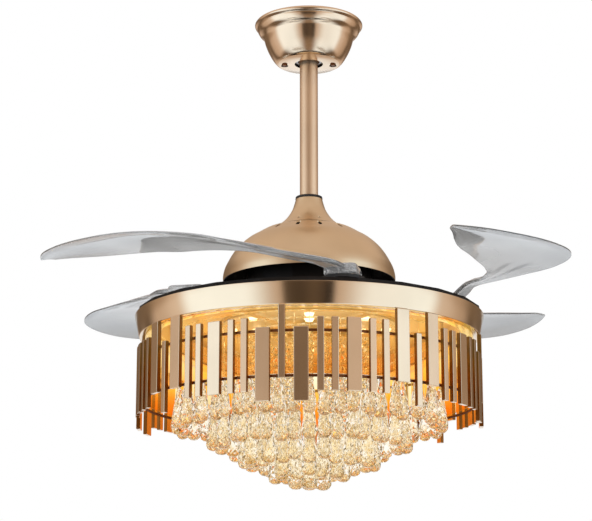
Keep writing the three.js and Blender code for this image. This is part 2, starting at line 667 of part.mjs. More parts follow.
function blade() {
  const leaf = loft(steps(BLADE_STATIONS + 1, (i) => bladeSection(i / BLADE_STATIONS)));
  const root = extruded(roundedBar(ROOT_W, ROOT_L, 8), ROOT_T, ROOT_BASE, 2);
  const bore = rod(PIVOT_PIN_R + RUN, ROOT_BASE - 1, ROOT_TOP + 1, 8);
  const headroom = rod(PIVOT_HEAD_R + 2, ROOT_TOP, ROOT_TOP + 12, 8);
  return cut(joined(leaf, root), bore, headroom);
}

const bladeShape = blade();
const gearShape = bladeGear();
add('blade_disc', bladeDisc(), black);
add('sync_ring', syncRing(), zinc);
for (const [i, azimuth] of BLADE_AZIMUTHS.entries()) {
  const arm = new THREE.Group();
  arm.rotation.z = rad(azimuth);
  const pivot = new THREE.Group();
  pivot.position.x = PIVOT_R;
  arm.add(pivot);
  body.add(arm);
  add(`pivot_pin_${i + 1}`, pivotPin(), zinc, pivot);
  add(`return_spring_${i + 1}`, returnSpring(), zinc, pivot);
  add(`blade_gear_${i + 1}`, gearShape, black, pivot);
  add(`blade_${i + 1}`, bladeShape, acrylic, pivot).rotation.z = rad(BLADE_OPEN);
}

// ---- Light kit ------------------------------------------------------------------------

const FLANGE_Z = -RING_H;
const PAN_LAP = 16; // the pan's rim, which rests on the ring's flange

function ringBand() {
  return turned([
    [RING_R, 0], [RING_FOOT_R + 0.6, FLANGE_Z], [RING_FOOT_R, FLANGE_Z - SHEET],
    [RING_FOOT_R - FLANGE_W, FLANGE_Z - SHEET], [RING_FOOT_R - FLANGE_W, FLANGE_Z],
    [RING_FOOT_R - SHEET, FLANGE_Z], [RING_R - SHEET, 0],
  ], 48);
}

function tray() {
  const r = RING_R - SHEET - 1.6;
  const hub = SHAFT_R + GAP;
  return turned([
    [hub, TRAY_FLOOR], [r, TRAY_FLOOR], [r, TRAY_LIP], [r - SHEET, TRAY_LIP], [r - SHEET, TRAY_FLOOR + SHEET],
    [hub + 12, TRAY_FLOOR + SHEET], [hub + 10, DISC_BASE - 4], [hub, DISC_BASE - 4],
  ], 24);
}

function lightPan() {
  const low = FLANGE_Z + GAP;
  return turned([
    [SHAFT_R + GAP, PAN_FLOOR], [PAN_R - 4, PAN_FLOOR], [PAN_R, low], [PAN_R + PAN_LAP, low],
    [PAN_R + PAN_LAP, low + SHEET], [PAN_R + SHEET, low + SHEET], [PAN_R - 4 + SHEET, PAN_BACK],
    [SHAFT_R + GAP, PAN_BACK],
  ], 24);
}

function ledLenses() {
  const face = PAN_FLOOR - GAP - BOARD_T - GAP;
  const base = ring(BOARD_BORE_R + 3, BOARD_R - 3, face - 1.5, face, 24);
  const rings = [{ r: BOARD_BORE_R + 2 * LENS_R, count: 4 }, { r: BOARD_R - 2 * LENS_R, count: 8 }];
  const domes = rings.flatMap(({ r, count }) => steps(count, (i) => {
    const [x, y] = polar(r, (360 * i) / count);
    const dome = [[0, face - 7], [LENS_R * 0.6, face - 6], [LENS_R, face - 1], [0, face - 1]];
    return turned(dome, 6).translate(x, y, 0);
  }));
  return joined(base, ...domes);
}

add('ring_band', ringBand(), champagne);
add('tray', tray(), black);
add('light_pan', lightPan(), champagne);
const DRIVER_H = TRAY_FLOOR - PAN_BACK - 2 * GAP;
add('led_driver', block(DRIVER_L, DRIVER_W, DRIVER_H, [0, DRIVER_Y, (PAN_BACK + TRAY_FLOOR) / 2]), plastic);
add('led_board', ring(BOARD_BORE_R, BOARD_R, PAN_FLOOR - GAP - BOARD_T, PAN_FLOOR - GAP, 24), circuit);
add('led_lenses', ledLenses(), crystal);
const HEX = Math.cos(Math.PI / 6);
add('shaft_nut', ring((SHAFT_R + GAP) / HEX, 15, PAN_FLOOR - GAP - 5, PAN_FLOOR - GAP, 6), zinc);

// ---- Bars and hoops -------------------------------------------------------------------

// One quarter of the round: degrees, width and level of each bar.
const QUARTER = [
  [0, BAR_NARROW, 'high'], [6, BAR_WIDE, 'low'], [12, BAR_NARROW, 'mid'], [16.5, BAR_NARROW, 'mid'],
  [22.5, BAR_WIDE, 'mid'], [28.5, BAR_NARROW, 'mid'], [33, BAR_NARROW, 'mid'], [39, BAR_WIDE, 'high'],
  [45, BAR_NARROW, 'low'], [51, BAR_WIDE, 'high'], [57, BAR_NARROW, 'mid'], [61.5, BAR_NARROW, 'mid'],
  [67.5, BAR_WIDE, 'mid'], [73.5, BAR_NARROW, 'mid'], [78, BAR_NARROW, 'mid'], [84, BAR_WIDE, 'low'],
];

const hoopAt = (z, outer) => ring(outer - HOOP_W, outer, z - HOOP_H / 2, z + HOOP_H / 2, 32);

function barCage() {
  const bars = steps(4, (quarter) => QUARTER.map(([turn, width, level]) => {
    const top = BAR_TOPS[level];
    return block(BAR_T, width, BAR_L, [BAR_R - BAR_T / 2, 0, top - BAR_L / 2])
      .rotateZ(rad(PATTERN_TURN + 90 * quarter + turn));
  })).flat();
  return joined(hoopAt(HOOP_LEVELS[1], HOOP_R), ...bars);
}

add('bar_cage', barCage(), champagne);
add('upper_hoop', hoopAt(HOOP_LEVELS[0], BAR_R - BAR_T - GAP), hoopBronze);

// ---- Crystals -------------------------------------------------------------------------

const SPOKES = 6;
const TIER_HOOP_T = 2.4;

function crystalFrame() {
  const reach = TIER_OUTER_R + 4;
  const spokes = steps(SPOKES / 2, (i) =>
    block(2 * reach, 6, SPOKE_T, [0, 0, SPOKE_Z - SPOKE_T / 2]).rotateZ((Math.PI * i) / (SPOKES / 2)));
  const posts = steps(SPOKES, (i) => {
    const [x, y] = polar(reach - 6, (360 * i) / SPOKES);
    return rod(3, SPOKE_Z - 1, PAN_FLOOR - GAP, 6).translate(x, y, 0);
  });
  return joined(...spokes, ...posts);
}

// A hoop with its drops, each on its own wire.
function crystalTier({ out, count, foot, length }) {
  const r = TIER_INNER_R + (TIER_OUTER_R - TIER_INNER_R) * out;
  const top = SPOKE_Z - SPOKE_T - GAP;
  const sides = count < 12 ? 16 : count; // a corner at every drop
  const hoop = ring(r - TIER_HOOP_T / 2, r + TIER_HOOP_T / 2, top - TIER_HOOP_T, top, sides);
  const drop = turned([
    [0, top - 0.4], [1.2, foot + 0.95 * length], [DROP_R, foot + 0.2 * length], [0, foot],
  ], 4);
  const drops = steps(count, (i) => {
    const [x, y] = polar(r, (360 * i) / count);
    return drop.clone().translate(x, y, 0);
  });
  return joined(hoop, ...drops);
}

add('crystal_frame', crystalFrame(), champagne);
for (const [i, tier] of TIERS.entries()) {
  add(`crystal_tier_${i + 1}`, crystalTier(tier), crystal);
}

export default fan;
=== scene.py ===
import math
import random

import bmesh
import bpy
from mathutils import Matrix, Vector


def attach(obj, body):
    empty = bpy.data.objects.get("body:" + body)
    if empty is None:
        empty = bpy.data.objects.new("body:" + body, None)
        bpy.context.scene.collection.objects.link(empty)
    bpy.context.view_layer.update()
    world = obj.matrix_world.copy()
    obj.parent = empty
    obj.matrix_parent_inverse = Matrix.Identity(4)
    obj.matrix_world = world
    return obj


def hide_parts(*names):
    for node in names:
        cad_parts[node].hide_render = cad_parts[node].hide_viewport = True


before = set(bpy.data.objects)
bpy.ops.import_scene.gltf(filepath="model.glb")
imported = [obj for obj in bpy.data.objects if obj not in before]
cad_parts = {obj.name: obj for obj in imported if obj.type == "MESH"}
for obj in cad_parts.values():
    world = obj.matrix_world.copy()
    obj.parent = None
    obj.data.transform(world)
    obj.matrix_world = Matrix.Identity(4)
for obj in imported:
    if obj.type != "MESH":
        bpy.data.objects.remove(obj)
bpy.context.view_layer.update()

MM = 0.001
DROP = 450  # ceiling to the light ring's top edge, where the body's heights start
SHEET = 1.4  # thickness of the pressed covers
EDGE = 35  # degrees between two faces from which their edge stays sharp
random.seed(7)

# ---- Meshes ---------------------------------------------------------------------------


def linked(name, data):
    """An object of the scene with this data."""
    obj = bpy.data.objects.new(name, data)
    bpy.context.scene.collection.objects.link(obj)
    return obj


def mesh_of(name, verts, faces):
    """A mesh from points in millimetres."""
    mesh = bpy.data.meshes.new(name)
    mesh.from_pydata([(x * MM, y * MM, z * MM) for x, y, z in verts], [], faces)
    return mesh


def shaded(mesh, angle):
    """Smooth faces, with the edges sharp from an angle in degrees."""
    mesh.shade_smooth()
    mesh.set_sharp_from_angle(angle=math.radians(angle))


def piece(name, verts, faces, body, slot, material, smooth=EDGE, nodes=()):
    """A mesh from points in millimetres, riding on a body."""
    mesh = mesh_of(name, verts, faces)
    bm = bmesh.new()
    bm.from_mesh(mesh)
    bmesh.ops.remove_doubles(bm, verts=bm.verts, dist=1e-6)
    bmesh.ops.recalc_face_normals(bm, faces=bm.faces)
    bm.to_mesh(mesh)
    bm.free()
    if smooth:
        shaded(mesh, smooth)
    obj = linked(name, mesh)
    obj.data.materials.append(material)
    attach(obj, body)
    if nodes:
        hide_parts(*nodes)
    return obj


def polar(r, degrees):
    a = math.radians(degrees)
    return r * math.cos(a), r * math.sin(a)


def circle(r, sides):
    angles = [2 * math.pi * i / sides for i in range(sides)]
    return [(r * math.cos(a), r * math.sin(a)) for a in angles]


def spline(points, count=6):
    """Points on a smooth line through the given ones."""
    out = []
    for i in range(len(points) - 1):
        p0, p1 = points[max(0, i - 1)], points[i]
        p2, p3 = points[i + 1], points[min(len(points) - 1, i + 2)]
        for k in range(count):
            t = k / count
            out.append(tuple(
                0.5 * (2 * b + (c - a) * t + (2 * a - 5 * b + 4 * c - d) * t * t
                       + (3 * b - a - 3 * c + d) * t ** 3)
                for a, b, c, d in zip(p0, p1, p2, p3)))
    out.append(tuple(points[-1]))
    return out


def softened(profile, radius):
    """A closed profile with its sharp corners rounded."""
    out = []
    count = len(profile)
    for i, corner in enumerate(profile):
        before, after = Vector(profile[i - 1]), Vector(profile[(i + 1) % count])
        here = Vector(corner)
        a, b = before - here, after - here
        if a.length < 1e-6 or b.length < 1e-6 or a.angle(b) > math.radians(150) or corner[0] < 1e-6:
            out.append(tuple(corner))
            continue
        start = here + a.normalized() * min(radius, a.length * 0.4)
        end = here + b.normalized() * min(radius, b.length * 0.4)
        for k in range(4):
            t = k / 3
            out.append(tuple(start * (1 - t) ** 2 + here * 2 * t * (1 - t) + end * t * t))
    return out


def turned(profile, segments=128, z=-DROP):
    """Points and faces of a closed profile turned round Z."""
    verts, faces = [], []
    count = len(profile)
    for j in range(segments):
        c, s = polar(1, 360 * j / segments)
        verts += [(r * c, r * s, h + z) for r, h in profile]
        k = (j + 1) % segments
        for i in range(count):
            n = (i + 1) % count
            faces.append((j * count + i, k * count + i, k * count + n, j * count + n))
    return verts, faces


def tube_ring(r, wire, z, segments=128, sides=10):
    """A hoop of round wire."""
    return turned([(r + x, z + y) for x, y in circle(wire, sides)], segments)


def gathered(parts):
    """Several (verts, faces) as one."""
    verts, faces = [], []
    for part_verts, part_faces in parts:
        base = len(verts)
        verts += part_verts
        faces += [tuple(base + i for i in face) for face in part_faces]
    return verts, faces


def moved(part, matrix):
    verts, faces = part
    return [tuple(matrix @ Vector(v)) for v in verts], faces


def skin(levels, n, down=False):
    """The faces between stacked rings of n points each, listed upwards or down."""
    faces = []
    for level in range(levels - 1):
        for i in range(n):
            j = (i + 1) % n
            face = level * n + i, level * n + j, (level + 1) * n + j, (level + 1) * n + i
            faces.append(face[:1] + face[:0:-1] if down else face)
    return faces


def rounded_outline(depth, width, r, steps):
    """A rectangle about the origin, each corner rounded in a number of steps."""
    outline = []
    for cx, cy, start in ((1, 1, 0), (-1, 1, 90), (-1, -1, 180), (1, -1, 270)):
        for k in range(steps + 1):
            x, y = polar(r, start + 90 / steps * k)
            outline.append((cx * (depth / 2 - r) + x, cy * (width / 2 - r) + y))
    return outline


def bar(width, depth, height, bevel):
    """A box below its top centre, its edges rounded."""
    outline = rounded_outline(depth, width, bevel, 2)
    n = len(outline)
    verts = []
    for z, inset in ((0, bevel), (-bevel, 0), (-height + bevel, 0), (-height, bevel)):
        for x, y in outline:
            k = 1 - inset / (min(width, depth) / 2) * 0.5
            verts.append((x * k, y * (1 - inset / width), z))
    caps = [tuple(range(n)), tuple(range(3 * n, 4 * n))[::-1]]
    return verts, caps + skin(4, n, down=True)


def peg(x, y, r, low, high, sides=16, stretch=1):
    """A round pin between two heights, drawn out along Y by stretch."""
    ring = [(x + dx, y + stretch * dy) for dx, dy in circle(r, sides)]
    verts = [(px, py, z) for z in (low, high) for px, py in ring]
    caps = [tuple(range(sides))[::-1], tuple(range(sides, 2 * sides))]
    return verts, caps + skin(2, sides)


def carved(obj, cutters):
    """Cuts closed (verts, faces) parts out of an object."""
    tool = linked("cutter", mesh_of("cutter", *gathered(cutters)))
    modifier = obj.modifiers.new("cut", "BOOLEAN")
    modifier.operation = "DIFFERENCE"
    modifier.solver = "EXACT"
    modifier.object = tool
    evaluated = obj.evaluated_get(bpy.context.evaluated_depsgraph_get())
    result = bpy.data.meshes.new_from_object(evaluated)
    obj.modifiers.remove(modifier)
    obj.data = result
    shaded(result, EDGE)
    bpy.data.objects.remove(tool)


# ---- Materials ------------------------------------------------------------------------


class Graph:
    """A short way to write nodes."""

    def __init__(self, tree):
        self.tree = tree

    def add(self, kind, values=(), links=(), **settings):
        node = self.tree.nodes.new("ShaderNode" + kind)
        for key, value in settings.items():
            setattr(node, key, value)
        for key, value in dict(values).items():
            node.inputs[key].default_value = value
        for key, socket in dict(links).items():
            self.tree.links.new(socket, node.inputs[key])
        return node

    def math(self, operation, a, b=0.0):
        """One step of arithmetic on sockets or numbers."""
        node = self.add("Math", operation=operation)
        for i, value in enumerate((a, b)):
            if isinstance(value, (int, float)):
                node.inputs[i].default_value = value
            else:
                self.tree.links.new(value, node.inputs[i])
        return node.outputs[0]

    def weighed(self, a, share_a, b, share_b):
        """The sum of two values, each times its share."""
        return self.math("ADD", self.math("MULTIPLY", a, share_a), self.math("MULTIPLY", b, share_b))

    def radius(self, x, y):
        return self.math("SQRT", self.weighed(x, x, y, y))

    def mapped(self, value, start, end, low=0.0, high=1.0, **settings):
        """From low, where the value is at start, to high, where it is at end."""
        ends = {"From Min": start, "From Max": end, "To Min": low, "To Max": high}
        return self.add("MapRange", ends, {"Value": value}, **settings).outputs["Result"]

    def ramp(self, fac, stops, interpolation="LINEAR"):
        """Colors by stops, in order or with the two outer ones first."""
        node = self.add("ValToRGB", links={"Fac": fac})
        node.color_ramp.interpolation = interpolation
        elements = node.color_ramp.elements
        for i, (at, color) in enumerate(stops):
            stop = elements[i] if i < 2 else elements.new(at)
            stop.position = at
            stop.color = (*color, 1)
        return node.outputs["Color"]


def shade(color, k):
    return tuple(min(1.0, c * k) for c in color)


class Nodes(Graph):
    """The nodes of a material."""

    def __init__(self, name):
        self.material = bpy.data.materials.new(name)
        self.material.use_nodes = True
        super().__init__(self.material.node_tree)
        self.shader = self.tree.nodes["Principled BSDF"]

    def set(self, **values):
        for key, value in values.items():
            self.shader.inputs[key.replace("_", " ")].default_value = value

    def link(self, name, socket):
        self.tree.links.new(socket, self.shader.inputs[name])

    def place(self):
        """Where a point lies in the fan, in metres."""
        return self.add("SeparateXYZ", links={0: self.add("TexCoord").outputs["Object"]}).outputs

    def cloud(self, scale, detail=2.0):
        where = self.add("TexCoord").outputs["Object"]
        return self.add("TexNoise", {"Scale": scale, "Detail": detail}, {"Vector": where}).outputs["Fac"]

    def grain(self, run):
        """Noise drawn out along the brushing: round the axis, up and down, or in no direction."""
        x, y, z = self.place()
        if run == "round":
            parts = (z, 1600.0), (self.radius(x, y), 1600.0), (self.math("ARCTAN2", y, x), 3.0)
        elif run == "up":
            parts = (x, 1300.0), (y, 1300.0), (z, 16.0)
        else:
            parts = (x, 700.0), (y, 700.0), (z, 700.0)
        scaled = [self.math("MULTIPLY", along, scale) for along, scale in parts]
        where = self.add("CombineXYZ", links=dict(enumerate(scaled)))
        return self.add("TexNoise", {"Scale": 1.0, "Detail": 4.0, "Roughness": 0.6},
                        {"Vector": where.outputs[0]}).outputs["Fac"]

    def between(self, noise, low, high):
        return self.mapped(noise, 0.25, 0.75, low, high)

    def two_tone(self, name, noise, dark, light):
        """A color socket fed with noise between two colors."""
        self.link(name, self.ramp(noise, [(0.3, dark), (0.7, light)]))

    def bump(self, height, strength, distance=0.0004):
        node = self.add("Bump", {"Strength": strength, "Distance": distance}, {"Height": height})
        self.link("Normal", node.outputs["Normal"])


def metal(name, color, roughness, run, spread=0.07, bump=0.06):
    """Brushed metal, slightly uneven in tone."""
    n = Nodes(name)
    n.set(Metallic=1.0)
    grain = n.grain(run)
    n.two_tone("Base Color", n.cloud(14.0), shade(color, 0.95), shade(color, 1.05))
    n.link("Roughness", n.between(grain, roughness - spread / 2, roughness + spread / 2))
    n.bump(grain, bump)
    return n.material


def plastic(name, color, roughness, gloss=0.5):
    """Moulded or painted surface with a fine grain."""
    n = Nodes(name)
    n.set(Specular_IOR_Level=gloss)
    grain = n.cloud(900.0, 3.0)
    n.two_tone("Base Color", n.cloud(30.0), shade(color, 0.88), shade(color, 1.12))
    n.link("Roughness", n.between(grain, roughness - 0.05, roughness + 0.05))
    n.bump(grain, 0.12, 0.0002)
    return n.material


canopy_metal = metal("canopy_metal", (0.88, 0.69, 0.5), 0.17, "round")
dome_metal = metal("dome_metal", (0.84, 0.66, 0.44), 0.34, "round", bump=0.04)
rod_metal = metal("rod_metal", (0.9, 0.67, 0.46), 0.48, "up")
ring_metal = metal("ring_metal", (0.88, 0.71, 0.51), 0.13, "round", spread=0.05, bump=0.04)
bar_metal = metal("bar_metal", (0.88, 0.7, 0.5), 0.22, "up")
pan_metal = metal("pan_metal", (0.85, 0.62, 0.38), 0.3, "round")
hoop_metal = metal("hoop_metal", (0.2, 0.08, 0.035), 0.35, "round")
steel = metal("steel", (0.62, 0.63, 0.65), 0.34, "any")
black_metal = plastic("black_metal", (0.008, 0.006, 0.005), 0.45, gloss=0.22)
black_plastic = plastic("black_plastic", (0.02, 0.02, 0.021), 0.55)
rubber = plastic("rubber", (0.02, 0.018, 0.017), 0.8)
copper = metal("copper", (0.62, 0.27, 0.13), 0.4, "any")
ferrite = plastic("ferrite", (0.05, 0.05, 0.055), 0.6)
board = plastic("board", (0.85, 0.84, 0.78), 0.5)

# Heights in metres over which light changes: the painted glow up the bars and up the liner, and the
# lamps' light out over a lens.
BAR_GLOW = -0.585, -0.5
LINER_GLOW = -0.57, -0.49
LENS_BULGE = -0.4682, -0.4692


def painted_glow_and_shade_metal(name, strength):
    """Painted glow and shade on the bars' inner and side faces: a darker brown metal glowing in place of
    the lamps' warm light, yellow near the lamps, browner below.
    """
    n = Nodes(name)
    n.set(Metallic=1.0, Emission_Strength=strength)
    n.two_tone("Base Color", n.cloud(30.0), (0.2, 0.08, 0.016), (0.28, 0.12, 0.03))
    n.link("Roughness", n.between(n.grain("up"), 0.38, 0.5))
    painted_glow_fac = n.weighed(n.mapped(n.place()[2], *BAR_GLOW), 0.8, n.cloud(14.0), 0.4)
    n.link("Emission Color", n.ramp(painted_glow_fac, [(0.2, (0.55, 0.13, 0.008)), (1.0, (1.0, 0.82, 0.3)),
                                             (0.5, (0.85, 0.26, 0.012)), (0.75, (0.94, 0.55, 0.06))]))
    return n.material


def painted_glow_glass():
    """The clear liner with painted glow: its tint and a faint emission stand in for the lamps' light,
    yellow under the ring and amber below.
    """
    n = Nodes("painted_glow_glass")
    n.set(IOR=1.2, Transmission_Weight=1.0, Emission_Strength=0.1)
    liner_glow_fac = n.weighed(n.mapped(n.place()[2], *LINER_GLOW), 0.8, n.cloud(12.0), 0.4)
    n.link("Base Color", n.ramp(liner_glow_fac, [(0.2, (0.96, 0.56, 0.18)), (1.0, (1.0, 0.92, 0.68)),
                                         (0.6, (1.0, 0.8, 0.44))]))
    n.link("Emission Color", n.ramp(liner_glow_fac, [(0.2, (0.8, 0.24, 0.01)), (1.0, (1.0, 0.7, 0.16))]))
    n.link("Roughness", n.between(n.grain("up"), 0.02, 0.08))
    return n.material


def lamp_glass():
    """The lenses' sheet: frosted and warm, lit where it bulges out over a lamp."""
    n = Nodes("lamp_glass")
    n.set(Roughness=0.3)
    frost = n.cloud(160.0)
    n.two_tone("Base Color", frost, (0.78, 0.56, 0.38), (0.86, 0.66, 0.48))
    n.two_tone("Emission Color", frost, (1.0, 0.86, 0.62), (1.0, 0.93, 0.78))
    n.link("Emission Strength", n.mapped(n.place()[2], *LENS_BULGE, high=2.2))
    return n.material


def crystal_glass():
    """Clear cut glass with a few warm streaks and a faint painted glow."""
    n = Nodes("crystal_glass")
    n.set(Roughness=0.0, IOR=1.5, Transmission_Weight=1.0)
    tint_and_glow = n.cloud(120.0)
    n.link("Base Color", n.ramp(tint_and_glow, [(0.36, (0.86, 0.72, 0.48)), (0.62, (1.0, 1.0, 0.99)),
                                       (0.42, (1.0, 0.97, 0.85)), (0.56, (0.98, 0.97, 0.96))]))
    # Painted glow: a faint warm emission in the glass, standing in for the lamps' light caught in the
    # drops.
    n.link("Emission Color", n.ramp(tint_and_glow, [(0.38, (1.0, 0.55, 0.16)), (0.62, (1.0, 0.84, 0.5))]))
    n.link("Emission Strength", n.between(n.cloud(60.0), 0.0, 0.06))
    return n.material


def acrylic(name, tone, clear, wave_scale=9.0, wave=0.12):
    """Smoky moulded plastic, a little wavy, with fine wear; darker away from the dome."""
    n = Nodes(name)
    n.set(IOR=1.49, Transmission_Weight=clear)
    x, y, _ = n.place()
    thick = n.weighed(n.mapped(n.radius(x, y), 0.2, 0.4), 0.6, n.cloud(14.0, 1.0), 0.6)
    n.link("Base Color", n.ramp(thick, [(0.35, tone), (0.95, shade(tone, 0.64))]))
    n.link("Roughness", n.between(n.cloud(240.0, 3.0), 0.02, 0.09))
    n.bump(n.cloud(wave_scale), wave, 0.003)
    return n.material


lamp = lamp_glass()
crystal = crystal_glass()
blade_face = acrylic("blade_face", (0.82, 0.825, 0.825), 0.62)
blade_rim = acrylic("blade_rim", (0.74, 0.75, 0.76), 0.85)
blade_root = acrylic("blade_root", (0.95, 0.955, 0.96), 0.75, 60.0, 0.3)

# ---- CAD nodes that stay ----------------------------------------------------------------

FINISH = {
    # The canopy screws take the dark hoop metal as painted shade, so the keyholes over them read dark.
    "ceiling_bracket": steel, "canopy_screw": hoop_metal, "remote_receiver": black_plastic,
    "terminal_block": board, "ball_pin": steel, "motor_yoke": steel, "rod_pin": steel,
    "motor_shaft": steel, "stator": copper, "rotor_shell": steel, "magnet_ring": ferrite,
    "bearing": steel, "blade_disc": black_metal, "sync_ring": steel, "pivot_pin": black_metal,
    "return_spring": steel, "blade_gear": black_plastic, "tray": black_metal, "light_pan": pan_metal,
    "led_driver": black_plastic, "led_board": pan_metal, "led_lenses": lamp, "shaft_nut": steel,
    "crystal_frame": pan_metal,
}
for node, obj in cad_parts.items():
    for start, material in FINISH.items():
        if node.startswith(start):
            obj.data.materials.clear()
            obj.data.materials.append(material)

# ---- Canopy, rod and ball ---------------------------------------------------------------


def painted_shade_inside(obj, side):
    """Painted shade: makes a cover's inner faces black, as if its inside lay in shadow; side is 1 for a
    bowl and -1 for a dome.
    """
    obj.data.materials.append(black_metal)
    for face in obj.data.polygons:
        outward = face.normal.xy.dot(face.center.xy) / face.center.xy.length
        if side * face.normal.z - outward > 0:
            face.material_index = 1


CANOPY_R, CANOPY_H = 80, 63
rim = spline([(CANOPY_R - 1.5, -0.3), (CANOPY_R, -2.5), (CANOPY_R - 0.2, -4.6),
              (CANOPY_R - 2.2, -6.4)], 4)
wall = spline([(CANOPY_R - 3.4, -7.6), (CANOPY_R - 3.9, -10.5), (CANOPY_R - 6.6, -15.6),
               (CANOPY_R - 10.6, -19.6), (CANOPY_R - 13.4, -24), (CANOPY_R - 16, -33),
               (CANOPY_R - 20, -43), (CANOPY_R - 26, -54), (CANOPY_R - 31, -60.4),
               (CANOPY_R - 35, -CANOPY_H)], 5)
inner = [(21, -CANOPY_H), (21, -CANOPY_H + SHEET), (43, -CANOPY_H + SHEET), (58, -43), (65, -23),
         (CANOPY_R - 6, -9), (CANOPY_R - 4, -0.3)]
canopy = piece("canopy_cover", *turned(rim + wall + inner, 160, 0), "ceiling", "canopy_finish",
               canopy_metal, nodes=("canopy",))
# Painted shade: the canopy's inner faces are black.
painted_shade_inside(canopy, 1)
# The two keyholes in its floor: a round hole for a screw's head and a narrow slot for its neck.
KEY_X, KEY_LOW, KEY_HIGH = 36, -CANOPY_H - 3, -CANOPY_H + 5
carved(canopy, [peg(side * KEY_X, 7, 5.6, KEY_LOW, KEY_HIGH) for side in (-1, 1)])
carved(canopy, [peg(side * KEY_X, 1, 2.6, KEY_LOW, KEY_HIGH, stretch=1.7) for side in (-1, 1)])

BALL_R, BALL_Z, ROD_HOLE_R = 19, -46, 13.65
ball_line = [(x, BALL_Z + y) for x, y in (polar(BALL_R, a) for a in range(-44, 45, 4))]
ball_line = [(ROD_HOLE_R, ball_line[0][1])] + ball_line + [(ROD_HOLE_R, ball_line[-1][1])]
piece("ball", *turned(ball_line, 64, 0), "hanger", "rod_finish", rod_metal, nodes=("hanger_ball",))
ROD_R, ROD_FOOT, ROD_HEAD, ROD_BORE = 13.35, 140.3, 425, 11
rod_line = softened([(ROD_BORE, ROD_FOOT), (ROD_R, ROD_FOOT), (ROD_R, ROD_HEAD), (ROD_BORE, ROD_HEAD)],
                    0.5)
piece("rod", *turned(rod_line, 64), "hanger", "rod_finish", rod_metal, nodes=("downrod",))

# ---- Neck and dome ----------------------------------------------------------------------

NECK_TOP, DOME_TOP, HOUSING_BASE, HOUSING_R = 178, 135, 54, 124.5
gasket = softened([(ROD_HOLE_R, NECK_TOP - 4), (17.8, NECK_TOP - 4), (17.8, NECK_TOP + 0.3),
                   (20, NECK_TOP + 0.3), (19.4, NECK_TOP + 4), (ROD_HOLE_R, NECK_TOP + 4)], 0.8)
piece("gasket", *turned(gasket, 64), "hanger", "rubber", rubber, nodes=("neck_gasket",))
outside = spline([(19.5, NECK_TOP), (21.0, NECK_TOP - 6), (24.4, NECK_TOP - 16), (30.3, NECK_TOP - 26),
                  (36, DOME_TOP + 10.3), (41, DOME_TOP + 5.9), (44.5, DOME_TOP + 3.2),
                  (48.6, DOME_TOP + 0.4)], 8)
inside = [(47.3, DOME_TOP - 0.3), (43.3, DOME_TOP + 2.9), (41.5, DOME_TOP + 4.4), (35.3, DOME_TOP + 9.2),
          (29.3, NECK_TOP - 27.8), (23.5, NECK_TOP - 17), (18.1, NECK_TOP)]
neck = piece("neck", *turned(outside + inside), "hanger", "housing_finish", dome_metal,
             nodes=("neck_cover",))
# Painted shade: the neck's inner faces are black.
painted_shade_inside(neck, -1)
FOOT_HOLES, FOOT_HOLE_AT, FOOT_HOLE_R = 8, 38.5, 2
carved(neck, [peg(*polar(FOOT_HOLE_AT, 360 / FOOT_HOLES * (i + 0.5)), FOOT_HOLE_R,
                  DOME_TOP - DROP, DOME_TOP + 12 - DROP) for i in range(FOOT_HOLES)])

r, low = HOUSING_R, HOUSING_BASE
outside = spline([(r, low), (r, low + 8), (r - 2.4, low + 18), (r - 6.6, low + 27), (r - 13.5, low + 39),
                  (r - 22.2, low + 50), (r - 34, low + 60.5), (r - 46, low + 67.8), (r - 58, low + 75),
                  (58, DOME_TOP - 2.7), (50, DOME_TOP - 0.6), (45, DOME_TOP)], 6)
inside = [(45, DOME_TOP - SHEET), (57.6, DOME_TOP - 4.2), (r - 58.6, low + 73.6), (r - 46.6, low + 66.5),
          (r - 35.1, low + 59.3), (r - 23.5, low + 49.2), (r - 14.9, low + 38.3), (r - 8, low + 26.5),
          (r - 3.8, low + 17.8), (r - SHEET, low + 8), (r - SHEET, low)]
dome = piece("dome", *turned(outside + inside, 160), "hanger", "housing_finish", dome_metal,
             nodes=("motor_housing",))
# Painted shade: the dome's inner faces are black.
painted_shade_inside(dome, -1)
VENTS, VENT_TURN, VENT_AT = 15, 18, (72.5, 0, DOME_TOP + 3 - DROP)
VENT_SLOT = bar(5, 15, 20, 2)
vents = []
for i in range(VENTS):
    spin = Matrix.Rotation(math.radians(360 / VENTS * i + VENT_TURN), 4, "Z")
    vents.append(moved(VENT_SLOT, spin @ Matrix.Translation(VENT_AT)))
carved(dome, vents)

# ---- Ring, bars and hoops ---------------------------------------------------------------

RING_R, RING_FOOT, RING_H, FLANGE_W = 250, 243, 28.6, 28
band = softened([(RING_R, 0), (RING_FOOT + 0.6, -RING_H), (RING_FOOT, -RING_H - SHEET),
                 (RING_FOOT - FLANGE_W, -RING_H - SHEET), (RING_FOOT - FLANGE_W, -RING_H),
                 (RING_FOOT - SHEET, -RING_H), (RING_R - SHEET, 0)], 0.6)
piece("band", *turned(band, 192), "hanger", "ring_finish", ring_metal, nodes=("ring_band",))

NARROW, WIDE = 9, 19.5
TOPS = {"high": -30.3, "mid": -47, "low": -60.5}
QUARTER = [  # the bars of a quarter turn: azimuth from its start, width and level
    (0, NARROW, "high"), (6, WIDE, "low"), (12, NARROW, "mid"), (16.5, NARROW, "mid"),
    (22.5, WIDE, "mid"), (28.5, NARROW, "mid"), (33, NARROW, "mid"), (39, WIDE, "high"),
    (45, NARROW, "low"), (51, WIDE, "high"), (57, NARROW, "mid"), (61.5, NARROW, "mid"),
    (67.5, WIDE, "mid"), (73.5, NARROW, "mid"), (78, NARROW, "mid"), (84, WIDE, "low"),
]
BAR_START, BAR_R, BAR_DEPTH, BAR_H, BAR_BEVEL = -98.5, 243, 6, 98, 0.7
bars = []
for quarter in range(4):
    for turn, width, level in QUARTER:
        spin = Matrix.Rotation(math.radians(BAR_START + 90 * quarter + turn), 4, "Z")
        at = Matrix.Translation((BAR_R, 0, TOPS[level] - DROP))
        bars.append(moved(bar(width, BAR_DEPTH, BAR_H, BAR_BEVEL), spin @ at))
